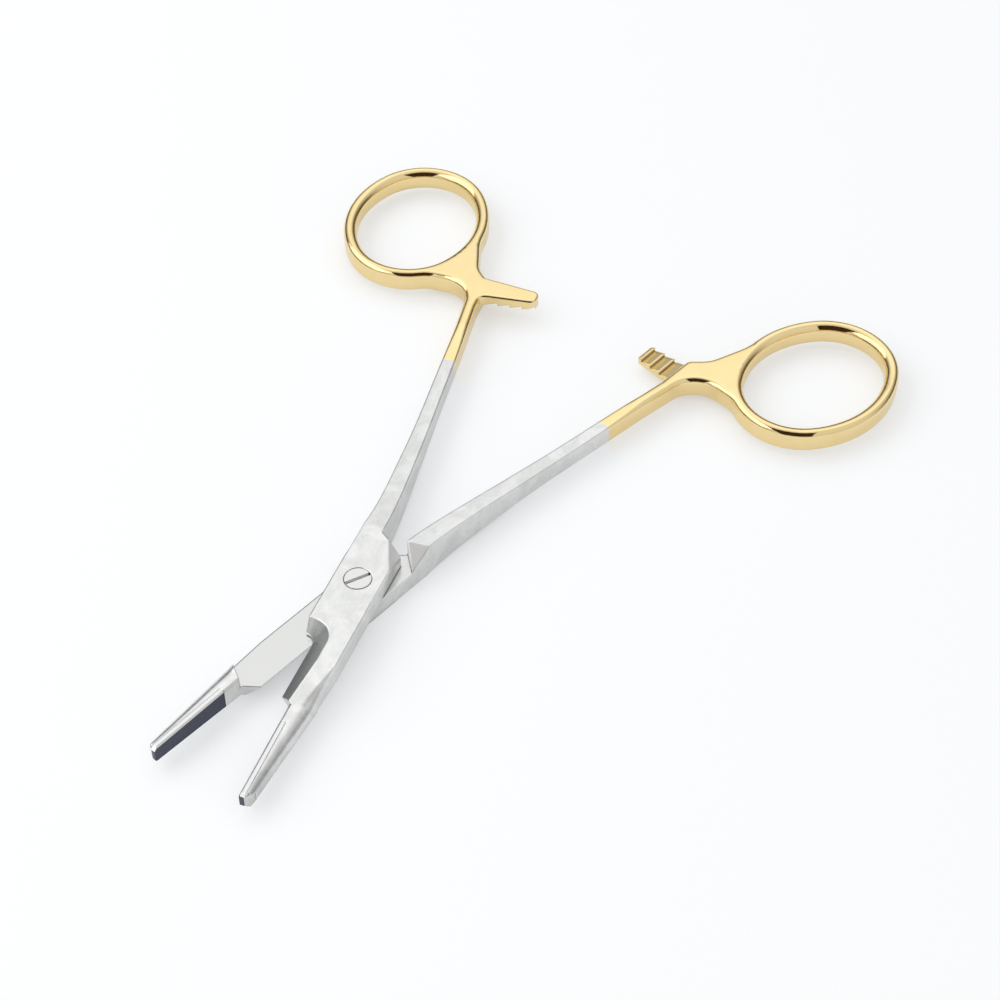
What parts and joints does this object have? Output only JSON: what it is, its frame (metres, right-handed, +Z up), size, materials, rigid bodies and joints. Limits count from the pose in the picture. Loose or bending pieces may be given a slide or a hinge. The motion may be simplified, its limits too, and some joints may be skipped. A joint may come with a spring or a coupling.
{
  "type": "surgical needle holder",
  "caption": "Ring-handled surgical needle holder with a ratchet catch, carbide jaw inserts and short scissor blades behind the jaws.",
  "frame": {"origin": "on the pivot axis, at the flat underside of the joint", "axes": "+X along the bisector of the two halves, from the pivot towards the finger rings; +Z up along the pivot axis, out of the screw's head; +Y towards the upper half's finger ring"},
  "size_m": [0.1337, 0.1042, 0.006],
  "materials": {
    "forging": "satin-ground stainless steel, with the shank ends, ratchet bars and finger rings gilded and polished",
    "screw": "satin-ground stainless steel, flush with the joint plate",
    "insert": "dark sintered carbide with a fine cross-cut grip pattern"
  },
  "bodies": {
    "lower_body": {"lower_half": "forging", "pivot_screw": "screw", "lower_jaw_insert": "insert"},
    "upper_body": {"upper_half": "forging", "upper_jaw_insert": "insert"}
  },
  "joints": [
    {"name": "box_hinge", "type": "hinge", "parent": "lower_body", "child": "upper_body", "pos_m": [0, 0, 0.003], "axis": [0, 0, 1], "range_deg": [-20.2, 25]}
  ]
}
